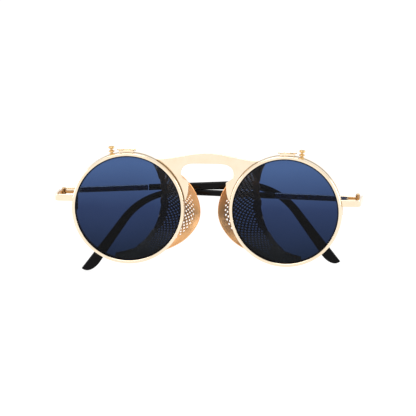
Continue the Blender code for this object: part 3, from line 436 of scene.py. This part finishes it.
# A fine web over the surface gives the sheet's true lengths, so that the holes keep their pitch:
# each section's reach from the border to the free edge, the breadth of each line across the
# sections, and how far along a section of the middle half each share of it lies.
shares = np.linspace(0, 1, WEB_STEPS + 1)
web = shield_surface(1, shares[:, None], shares[None, :])
runs = np.cumsum(np.linalg.norm(np.diff(web, axis=1), axis=-1), axis=1)
reach = runs[:, -1]
breadth = np.linalg.norm(np.diff(web, axis=0), axis=-1).sum(axis=0)
middle_half = slice(WEB_STEPS // 4, WEB_STEPS * 3 // 4 + 1)
progress = np.concatenate([[0], (runs[middle_half] / reach[middle_half, None]).mean(axis=0)])


def blank_place(column, row):
    """Where a lattice point falls on the blank: its share around and its way from the border.

    Columns and rows lie half a pitch apart, as measured on the sheet at that height.
    """
    span = np.interp(row / ROWS, shares, breadth)
    around = np.clip(0.5 + (column - COLUMNS / 2) * HALF_PITCH / span, 0, 1)
    return around, np.clip(row * HALF_PITCH, 0, np.interp(around, shares, reach))


def lattice(side, column, row):
    """Point of the pressed sheet for a lattice point, held back at the blank's edges."""
    around, run = blank_place(column, row)
    along = np.interp(run / np.interp(around, shares, reach), progress, shares)
    return shield_surface(side, around, along)


def shield_sheet(side):
    """Points and faces of the sheet: every other lattice cell is a diamond, pierced or plain.

    A pierced one has four six-cornered faces round a twelve-cornered hole. Cells past the
    blank's edge fall flat there and are left out.
    """
    column, row = np.meshgrid(np.arange(COLUMNS + 1), np.arange(ROWS + 1), indexing="ij")
    odd = (column + row) % 2 == 1
    column, row = column[odd].astype(float), row[odd].astype(float)
    corner = np.stack([lattice(side, column + east, row + north)
                       for east, north in ((1, 0), (0, 1), (-1, 0), (0, -1))], axis=1)
    spread = np.linalg.norm(np.cross(corner[:, 2] - corner[:, 0], corner[:, 3] - corner[:, 1]),
                            axis=-1)
    around, run = blank_place(column, row)
    pierced = ((run > FRONT_BORDER) & (run < np.interp(around, shares, reach) - EDGE_BORDER)
               & (around > HOLES_FROM) & (around < HOLES_TO))
    plain = corner[~pierced & (spread > 1e-9)]
    faces = np.arange(len(plain) * 4).reshape(-1, 4).tolist()
    turn = np.radians(30 * np.arange(12))
    hole = lattice(side, column[pierced][:, None] + HOLE_RADIUS / HALF_PITCH * np.cos(turn),
                   row[pierced][:, None] + HOLE_RADIUS / HALF_PITCH * np.sin(turn))
    cells = np.concatenate([corner[pierced], hole], axis=1)
    pattern = np.array([[quarter, (quarter + 1) % 4] +
                        [4 + (3 * quarter + 3 - step) % 12 for step in range(4)]
                        for quarter in range(4)])
    starts = len(plain) * 4 + 16 * np.arange(len(cells))[:, None, None]
    faces += (starts + pattern).reshape(-1, 6).tolist()
    return np.concatenate([plain.reshape(-1, 3), cells.reshape(-1, 3)]), faces


shield_gold = gold_plated("pressed_gold_plated_sheet", "#FCCB96", "#ECAC6C", 0.29, 0.38, 3600)
for label, side in SIDES:
    shield = mesh_piece(label + "_pierced_shield", *shield_sheet(side), shield_gold)
    # An open sheet may come out turned either way; its outer face looks away from the eye.
    face = shield.data.polygons[len(shield.data.polygons) // 2]
    if (face.center[0] - side * EYE_OUT) * face.normal[0] < 0:
        shield.data.flip_normals()
    wall = shield.modifiers.new("sheet_thickness", "SOLIDIFY")
    wall.thickness, wall.offset = SHIELD_WALL, -1.0
    settled(shield, 50)
    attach(shield, "root")
    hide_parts(label + "_nose_shield")


# End pieces. Flat brass strips soldered to the outer side of the eyewires, bent round the corner
# and back to the temple hinges, with softened edges, polished and plated like the rims.
END_OUT, END_HEIGHT, END_THICKNESS, END_LIFT = 0.0701, 0.0031, 0.001, 0.0038
END_CORNER, END_LENGTH, END_DROOP = 0.0026, 0.0155, 0.0008
END_FRONT, END_LAP, END_ROUNDING = 0.0002, 0.0009, 0.00032


def strip_section(height, thickness, corner, steps=6):
    """Rounded box section as across and above, quarter circles joined by its flat sides."""
    turn = np.linspace(0, np.pi / 2, steps)
    quarter = np.stack([thickness / 2 - corner + corner * np.cos(turn),
                        height / 2 - corner + corner * np.sin(turn)], axis=-1)
    return np.concatenate([quarter, quarter[::-1] * (-1, 1), -quarter, quarter[::-1] * (1, -1)])


bend = np.linspace(-np.pi / 2, 0, 16)
bend_facing = np.stack([np.cos(bend), np.sin(bend)], axis=-1)
path = np.concatenate([
    [(EYE_OUT + RIM_OUTSIDE - END_LAP, END_FRONT + END_THICKNESS / 2)],
    (END_OUT - END_CORNER, END_FRONT + END_CORNER) + (END_CORNER - END_THICKNESS / 2) * bend_facing,
    [(END_OUT - END_THICKNESS / 2, END_LENGTH)]])
facing = np.concatenate([[(0.0, -1.0)], bend_facing, [(1.0, 0.0)]])
section = strip_section(END_HEIGHT, END_THICKNESS, END_ROUNDING)
across = path[:, None, :] + facing[:, None, :] * section[None, :, :1]
height = END_LIFT + section[None, :, 1] - END_DROOP * across[..., 1] / END_LENGTH
for label, side in SIDES:
    strip = np.stack([side * across[..., 0], EYE_BACK + across[..., 1], EYE_UP + height], axis=-1)
    end_piece = carried(label + "_end_strip", strip, gold)
    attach(end_piece, "root")
    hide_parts(label + "_end_piece")


# Rim locks, hinge leaves and flip hinges. Small milled and rolled brass parts, gold plated, with
# turned gilt screws and pins, a little duller because they are handled with tools.
gilt = gold_plated("turned_gilt_screw", "#F0D9B4", "#E2C08C", 0.16, 0.28, 7000)
milled = gold_plated("milled_gilt_hinge_leaf", "#CF9E60", "#A87742", 0.16, 0.3, 7000)
FINISHES = ((gold, ("rim_lock_upper", "rim_lock_lower", "flip_hinge_bracket", "flip_knuckle")),
            (gilt, ("rim_lock_screw", "flip_hinge_pin", "temple_hinge_screw")),
            (milled, ("frame_hinge_leaf", "temple_hinge_leaf")))
for label, side in SIDES:
    for finish, parts in FINISHES:
        for part in parts:
            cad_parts[f"{label}_{part}"].data.materials.clear()
            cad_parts[f"{label}_{part}"].data.materials.append(finish)


# Flip rims. The moving rims in front are the same rolled wire as the eyewires but closed rings,
# hung from the flip hinges at the top, and they carry the tinted lenses.
FLIP_GAP = 0.0003
FLIP_MIDDLE = -FLIP_GAP - RIM_WIDTH / 2

flip_gold = rim_gold_with_painted_shade("pale_gold_flip_rim_painted_shade", EYE_BACK - FLIP_GAP)
full_turns = np.linspace(0, 2 * np.pi, RIM_STEPS, endpoint=False)
for label, side in SIDES:
    flip_rim = carried(label + "_flip_ring", ring_sections(side, FLIP_MIDDLE, full_turns),
                       flip_gold, closed=True)
    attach(flip_rim, label + "_flip")
    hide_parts(label + "_flip_rim")


# Tinted lenses. Resin discs dyed deep blue and given a hard, mirror-smooth coat, set in the flip
# rims' grooves. Their colour carries a painted reflection, lighter towards the top, and painted
# shade, nearly black next to the rim.
# The last two distances give the band next to the rim that is painted nearly black as painted
# shade.
TINTED_THICKNESS, RIM_SHADE_FULL, RIM_SHADE_START = 0.0014, 0.0002, 0.0007
# Heights of the painted reflection: the lens colour is darkest at the foot and lightest at the top,
# and these heights drift at random.
PAINTED_REFLECTION_FOOT, PAINTED_REFLECTION_MIDDLE, PAINTED_REFLECTION_TOP, PAINTED_REFLECTION_DRIFT = -0.042, -0.020, 0.0, 0.006


def blue_resin(name):
    """Blue-dyed resin that tints light on its way through, with a painted reflection: darker
    downwards, lighter upwards.

    The eye sees a clear blue glass under sharp reflections, and the painted reflection's height
    drifts at random over about 22 mm. In the last half millimetre next to the rim the colour is
    painted nearly black as painted shade.
    """
    material, tree = start_material(name)
    place = add_node(tree, "ShaderNodeTexCoord").outputs["Object"]
    parts = add_node(tree, "ShaderNodeSeparateXYZ", {}, {0: place})
    drift = add_node(tree, "ShaderNodeTexNoise", {"Scale": 45, "Detail": 1}, {"Vector": place})
    height = add_node(tree, "ShaderNodeMath", {"operation": "MULTIPLY_ADD", 1: PAINTED_REFLECTION_DRIFT},
                      {0: drift.outputs["Fac"], 2: parts.outputs["Z"]})
    # Painted reflection: the colour is darker towards the bottom and lighter towards the top.
    low, high = (add_node(tree, "ShaderNodeMapRange", {"From Min": foot, "From Max": top},
                          {"Value": height.outputs[0]})
                 for foot, top in ((PAINTED_REFLECTION_FOOT, PAINTED_REFLECTION_MIDDLE), (PAINTED_REFLECTION_MIDDLE, PAINTED_REFLECTION_TOP)))
    tone = add_node(tree, "ShaderNodeMix", {"data_type": "RGBA", 6: linear("#111F37"),
                                            7: linear("#27375C")}, {0: low.outputs[0]})
    tone = add_node(tree, "ShaderNodeMix", {"data_type": "RGBA", 7: linear("#445D8B")},
                    {0: high.outputs[0], 6: tone.outputs[2]})
    # Painted shade: nearly black in the last half millimetre next to the rim.
    edge = add_node(tree, "ShaderNodeMapRange", {"From Min": RIM_OPENING - RIM_SHADE_START,
                                                 "From Max": RIM_OPENING - RIM_SHADE_FULL},
                    {"Value": eye_radius(tree, parts)})
    tone = add_node(tree, "ShaderNodeMix", {"data_type": "RGBA", 7: linear("#0B0B0F")},
                    {0: edge.outputs[0], 6: tone.outputs[2]})
    shader = add_node(tree, "ShaderNodeBsdfPrincipled",
                      {"Roughness": 0.01, "IOR": 1.2, "Transmission Weight": 1.0},
                      {"Base Color": tone.outputs[2]})
    add_node(tree, "ShaderNodeOutputMaterial", {}, {"Surface": shader.outputs[0]})
    return material


blue = blue_resin("blue_dyed_hard_coated_resin")
for label, side in SIDES:
    tinted = lens_disc(label + "_blue_disc", side, FLIP_MIDDLE, TINTED_THICKNESS, blue)
    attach(tinted, label + "_flip")
    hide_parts(label + "_tinted_lens")


# Flip studs. Small brass spools turned on a lathe and soldered on top of each flip rim, a little
# outward of its hinge, for a fingertip to lift the lens by. Polished and plated.
STUD_OUT, STUD_LEAN = 0.0074, math.radians(4)
STUD_HEIGHT, STUD_DISC, STUD_NECK = 0.0037, 0.0014, 0.0006
STUD_ROOT, STUD_COLLAR, STUD_FOOT, FOOT_SLOPE = -0.17, 0.8, 0.13, 0.05
STUD_DISCS = ((0.35, 0.13), (0.825, 0.175))


def spool_profile():
    """Radius and height of the spool: two rounded discs over a neck and a foot.

    Each disc is an oval bulge on the neck, somewhat fuller than the square root of one minus
    the squared height from its middle. Heights are shares of the spool's.
    """
    height = np.linspace(STUD_ROOT, 1.0, 90)
    radius = np.full_like(height, STUD_NECK / STUD_DISC)
    for middle, half_height in STUD_DISCS:
        share = np.clip(1 - np.abs((height - middle) / half_height) ** 2.6, 0, 1)
        radius = np.maximum(radius, share ** 0.42)
    foot = np.clip((STUD_FOOT - height) / FOOT_SLOPE, 0, 1)
    radius = np.maximum(radius, STUD_COLLAR * foot)
    radius[-1] = radius[0] = 0
    return radius * STUD_DISC, height * STUD_HEIGHT


brass = gold_plated("turned_gold_plated_spool", "#E3C48F", "#C79B5C", 0.1, 0.2, 7000)
radius, height = spool_profile()
turn = np.linspace(0, 2 * np.pi, 40, endpoint=False)[:, None]
across, along = radius * np.cos(turn), radius * np.sin(turn)
seat_up = math.sqrt(RIM_CLEAR ** 2 - STUD_OUT ** 2)
for label, side in SIDES:
    spool = np.stack([side * (EYE_OUT + STUD_OUT + across * math.cos(STUD_LEAN)
                              + height * math.sin(STUD_LEAN)),
                      EYE_BACK + FLIP_MIDDLE + along,
                      EYE_UP + seat_up - across * math.sin(STUD_LEAN)
                      + height * math.cos(STUD_LEAN)], axis=-1)
    stud = mesh_piece(label + "_lifting_spool", spool,
                      grid_faces(*spool.shape[:2], wrap_rows=True), brass, 50)
    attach(stud, label + "_flip")
    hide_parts(label + "_flip_stud")


# Temples. Each is a flat gold-plated arm with a shallow channel pressed along both faces, and a
# glossy black acetate sleeve slid over its core wire and bent down behind the ear by hand. The
# left sleeve is a little deeper where it starts to bend.
HINGE_OUT, HINGE_BACK, HINGE_UP, ARM_MIDDLE = 0.0677, 0.0155, 0.00295, 0.00205
TIP_START, BEND_RADIUS, BEND_ANGLE, TIP_RUN = 0.039, 0.033, math.radians(55), 0.031
ARM_HEIGHT, ARM_THICKNESS, ARM_ROUNDING, ARM_SHORT = 0.0027, 0.0013, 0.0003, 0.0003
CHANNEL_DEPTH, CHANNEL_SHARE = 0.0002, 0.22
TIP_THICKNESS, TIP_NECK, TIP_PADDLE, TIP_ROUND, TIP_END = 0.0022, 0.0028, 0.0055, 0.008, 0.001
SLEEVE_CORNERS, SLEEVE_SQUARING, BELLY_RUN = 36, 0.8, (0.046, 0.079, 0.096)
# Each temple's label, side, rise, lift, fold, run to where its sleeve bends, and belly.
TEMPLES = (("left", -1, math.radians(2.3), 0.00065, math.radians(5), 0.0798, 0.0012),
           ("right", 1, math.radians(0.3), -0.00065, math.radians(4.5), 0.0822, 0.0))


def glossy_acetate(name):
    """Tumble-polished black acetate: near black under a wet-looking skin.

    The eye sees deep black with soft highlights. The faint grey drift is about 5 mm across, and
    the skin's ripple 1.5 mm.
    """
    material, tree = start_material(name)
    place = add_node(tree, "ShaderNodeTexCoord").outputs["Object"]
    drift = add_node(tree, "ShaderNodeTexNoise", {"Scale": 220, "Detail": 3}, {"Vector": place})
    tone = add_node(tree, "ShaderNodeMix", {"data_type": "RGBA", 6: linear("#060607"),
                                            7: linear("#0D0D0F")}, {0: drift.outputs["Fac"]})
    gloss = add_node(tree, "ShaderNodeMapRange", {"From Min": 0.3, "From Max": 0.7,
                                                  "To Min": 0.05, "To Max": 0.1},
                     {"Value": drift.outputs["Fac"]})
    skin = add_node(tree, "ShaderNodeTexNoise", {"Scale": 700, "Detail": 1}, {"Vector": place})
    bump = add_node(tree, "ShaderNodeBump", {"Strength": 0.05, "Distance": 0.00005},
                    {"Height": skin.outputs["Fac"]})
    shader = add_node(tree, "ShaderNodeBsdfPrincipled", {"IOR": 1.48, "Specular IOR Level": 0.1},
                      {"Base Color": tone.outputs[2], "Roughness": gloss.outputs[0],
                       "Normal": bump.outputs[0]})
    add_node(tree, "ShaderNodeOutputMaterial", {}, {"Surface": shader.outputs[0]})
    return material


def temple_points(temple, run, height, slope, outwards, above):
    """Points beside a temple's centre line, turned about its hinge to where it lies folded."""
    _, side, rise, lift, fold, _, _ = temple
    along = run + above * np.sin(slope)
    up = HINGE_UP + lift + height + above * np.cos(slope) + run * math.tan(rise)
    inwards = along * math.cos(fold) - (ARM_MIDDLE + outwards) * math.sin(fold)
    backwards = along * math.sin(fold) + (ARM_MIDDLE + outwards) * math.cos(fold)
    return np.stack([side * (HINGE_OUT - inwards), EYE_BACK + HINGE_BACK + backwards, EYE_UP + up],
                    axis=-1)


def tip_line(bend_start):
    """Centre line as run, height and slope: straight, a circular bend, and straight to the end."""
    bend = np.linspace(0, BEND_ANGLE, 30)[1:]
    slope = np.concatenate([np.zeros(16), bend])
    run = np.concatenate([np.linspace(TIP_START, bend_start, 16),
                          bend_start + BEND_RADIUS * np.sin(bend)])
    height = np.concatenate([np.zeros(16), BEND_RADIUS * (np.cos(bend) - 1)])
    straight = TIP_RUN - TIP_ROUND
    rest = np.concatenate([np.linspace(0, straight, 16)[1:],
                           straight + TIP_ROUND * np.sin(np.linspace(0, np.pi / 2, 26)[1:])])
    return (np.concatenate([run, run[-1] + rest * math.cos(BEND_ANGLE)]),
            np.concatenate([height, height[-1] - rest * math.sin(BEND_ANGLE)]),
            np.concatenate([slope, np.full(len(rest), BEND_ANGLE)]))


acetate = glossy_acetate("tumble_polished_black_acetate")
section = strip_section(ARM_HEIGHT, ARM_THICKNESS, ARM_ROUNDING)
channel = CHANNEL_DEPTH * np.exp(-(section[:, 1] / (ARM_HEIGHT * CHANNEL_SHARE)) ** 4)
section[:, 0] -= np.sign(section[:, 0]) * channel
arm_run = np.linspace(ARM_SHORT, TIP_START - ARM_SHORT, 12)[:, None]
turn = 2 * np.pi * (np.arange(SLEEVE_CORNERS) + 0.5) / SLEEVE_CORNERS
for temple in TEMPLES:
    label, _, _, _, _, bend_start, belly = temple
    arm = carried(label + "_gold_arm", temple_points(temple, arm_run, 0.0, 0.0 * arm_run,
                                                     section[:, 0], section[:, 1]), gold)
    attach(arm, label + "_temple")
    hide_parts(label + "_temple_arm")

    # The sleeve widens towards its end, whose lower corner alone is rounded off.
    run, height, slope = (values[:, None] for values in tip_line(bend_start))
    grown = np.clip((run - bend_start) / (run[-1] - bend_start), 0, 1)
    half = (TIP_NECK + (TIP_PADDLE - TIP_NECK) * grown ** 2) / 2
    rounding = np.clip(1 - (run[-1] - run) / math.cos(BEND_ANGLE) / TIP_ROUND, 0, 1)
    lower = -half + TIP_END + (2 * half - TIP_END) * np.sqrt(1 - rounding ** 2)
    lower = lower + belly * np.interp(run, BELLY_RUN, (0, 1, 0))
    outwards = (TIP_THICKNESS * (1 - 0.3 * rounding ** 3) / 2
                * squared(np.cos(turn), SLEEVE_SQUARING))
    above = (half - lower) / 2 + (half + lower) / 2 * squared(np.sin(turn), SLEEVE_SQUARING)
    tip = carried(label + "_acetate_sleeve", temple_points(temple, run, height, slope, outwards,
                                                           above), acetate, sharp=60)
    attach(tip, label + "_temple")
    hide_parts(label + "_temple_tip")


# Setting. A pale floor under the glasses, a studio sky that gives less light from the horizon in
# front and behind than from above and aside, soft lamps, and a far camera a little right of the
# front and 12 degrees above it, as in the photograph.
FLOOR_SPREAD, FLOOR_STEPS, FLOOR_GAP, FLOOR_SHARE = 2.5, 96, 0.0004, 0.8
HORIZON_LIGHT, SKY_LIGHT, HORIZON_RISE, ASIDE_RISE = 0.15, 1.1, (0.18, 0.34), (0.22, 0.55)
MIDDLE = (0.0, 0.01, -0.02)
SOFTBOXES = (("overhead_softbox", (-0.15, -0.25, 0.75), (0.7, 0.5), 3.2),
             ("left_softbox", (-0.75, 0.15, 0.12), (0.5, 0.5), 2.6),
             ("right_softbox", (0.75, 0.15, 0.12), (0.5, 0.5), 2.6))
AZIMUTH, ELEVATION, REACH, PIXEL = math.radians(6), math.radians(12), 4.0, 0.0004563
PICTURE, OFF_CENTRE, SENSOR = 416, 0.9, 36.0


def plainly_seen(tree):
    """Socket that is 1 for camera, glossy and transmission rays, so that all see plain white."""
    seen = add_node(tree, "ShaderNodeLightPath")
    either = add_node(tree, "ShaderNodeMath", {"operation": "MAXIMUM"},
                      {0: seen.outputs["Is Camera Ray"], 1: seen.outputs["Is Glossy Ray"]})
    either = add_node(tree, "ShaderNodeMath", {"operation": "MAXIMUM"},
                      {0: either.outputs[0], 1: seen.outputs["Is Transmission Ray"]})
    return either.outputs[0]


turn = np.linspace(0, 2 * np.pi, FLOOR_STEPS, endpoint=False)
floor_points = np.stack([FLOOR_SPREAD * np.cos(turn), FLOOR_SPREAD * np.sin(turn),
                         np.full_like(turn, cad_box[0][2] - FLOOR_GAP)], axis=-1)
floor_paint, tree = start_material("white_painted_floor")
share = add_node(tree, "ShaderNodeMath", {"operation": "MULTIPLY", 1: FLOOR_SHARE},
                 {0: plainly_seen(tree)})
paint = add_node(tree, "ShaderNodeBsdfDiffuse", {"Color": linear("#F4F3F0")})
light = add_node(tree, "ShaderNodeEmission", {"Color": (1, 1, 1, 1), "Strength": 1.06})
mixed = add_node(tree, "ShaderNodeMixShader", {}, {0: share.outputs[0], 1: paint.outputs[0],
                                                   2: light.outputs[0]})
add_node(tree, "ShaderNodeOutputMaterial", {}, {"Surface": mixed.outputs[0]})
floor = mesh_piece("studio_floor", floor_points, [list(range(FLOOR_STEPS))], floor_paint)

world = bpy.data.worlds.new("studio_sky")
bpy.context.scene.world = world
world.use_nodes = True
tree = world.node_tree
tree.nodes.clear()
direction = add_node(tree, "ShaderNodeTexCoord").outputs["Generated"]
parts = add_node(tree, "ShaderNodeSeparateXYZ", {}, {0: direction})
sky = add_node(tree, "ShaderNodeMapRange", {"From Min": HORIZON_RISE[0],
                                            "From Max": HORIZON_RISE[1],
                                            "To Min": HORIZON_LIGHT, "To Max": SKY_LIGHT},
               {"Value": parts.outputs["Z"]})
aside = add_node(tree, "ShaderNodeMath", {"operation": "ABSOLUTE"}, {0: parts.outputs["X"]})
aside = add_node(tree, "ShaderNodeMapRange", {"From Min": ASIDE_RISE[0],
                                              "From Max": ASIDE_RISE[1]},
                 {"Value": aside.outputs[0]})
sky = add_node(tree, "ShaderNodeMath", {"operation": "MAXIMUM"},
               {0: sky.outputs[0], 1: aside.outputs[0]})
level = add_node(tree, "ShaderNodeMix", {"data_type": "FLOAT", 3: 1.0},
                 {0: plainly_seen(tree), 2: sky.outputs[0]})
glow = add_node(tree, "ShaderNodeBackground", {"Color": (1, 1, 1, 1)}, {1: level.outputs[0]})
add_node(tree, "ShaderNodeOutputWorld", {}, {"Surface": glow.outputs[0]})


def soft_lamp(name, place, aim, size, power):
    """Soft lamp of a size and a power in watts at a place, turned to shine at a point."""
    lamp = bpy.data.lights.new(name, "AREA")
    lamp.shape, lamp.size, lamp.size_y, lamp.energy = "RECTANGLE", size[0], size[1], power
    holder = bpy.data.objects.new(name, lamp)
    way = np.array(aim) - np.array(place)
    way = way / np.linalg.norm(way)
    flat = math.hypot(way[0], way[1])
    holder.rotation_euler = (math.atan2(flat, -way[2]), 0.0, math.atan2(-way[0], way[1]))
    holder.location = place
    holder.visible_camera = False
    bpy.context.scene.collection.objects.link(holder)


for name, place, size, power in SOFTBOXES:
    soft_lamp(name, place, MIDDLE, size, power)

rightwards = np.array([math.cos(AZIMUTH), math.sin(AZIMUTH), 0.0])
upwards = np.array([-math.sin(AZIMUTH) * math.sin(ELEVATION),
                    math.cos(AZIMUTH) * math.sin(ELEVATION), math.cos(ELEVATION)])
forwards = np.cross(upwards, rightwards)
target = np.array([0.0, EYE_BACK, EYE_UP]) + OFF_CENTRE * PIXEL * (rightwards + upwards)
optics = bpy.data.cameras.new("studio_camera")
optics.sensor_width, optics.lens = SENSOR, SENSOR * REACH / (PICTURE * PIXEL)
optics.clip_start, optics.clip_end = 0.1, 50.0
camera = bpy.data.objects.new("studio_camera", optics)
camera.location = target - forwards * REACH
camera.rotation_euler = (math.pi / 2 - ELEVATION, 0.0, AZIMUTH)
bpy.context.scene.collection.objects.link(camera)
bpy.context.scene.camera = camera
bpy.context.scene.view_settings.view_transform = "Standard"

bpy.context.view_layer.update()
